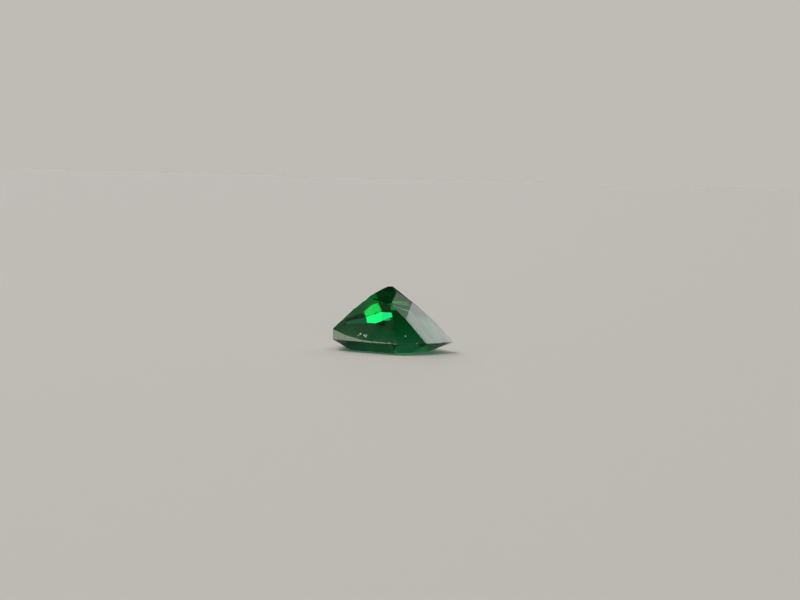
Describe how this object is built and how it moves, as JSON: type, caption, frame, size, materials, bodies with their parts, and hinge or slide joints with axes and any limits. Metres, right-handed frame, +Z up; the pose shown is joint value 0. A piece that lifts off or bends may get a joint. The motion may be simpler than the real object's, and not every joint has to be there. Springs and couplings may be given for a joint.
{
  "type": "cut tsavorite garnet",
  "caption": "Small loose faceted green garnet, cut as an uneven cushion with a deep pavilion, that lies on its table with the culet up.",
  "frame": {"origin": "on the surface that the table facet lies on, under the middle of the girdle outline", "axes": "+Z up from the table facet towards the culet, -Y towards the side with the long front corner of the girdle, +X towards the thin pointed tip of the girdle"},
  "size_m": [0.005, 0.005, 0.0027],
  "materials": {
    "tsavorite": "polished facets with a frosted girdle"
  },
  "bodies": {
    "root": {"tsavorite_garnet": "tsavorite"}
  },
  "joints": []
}
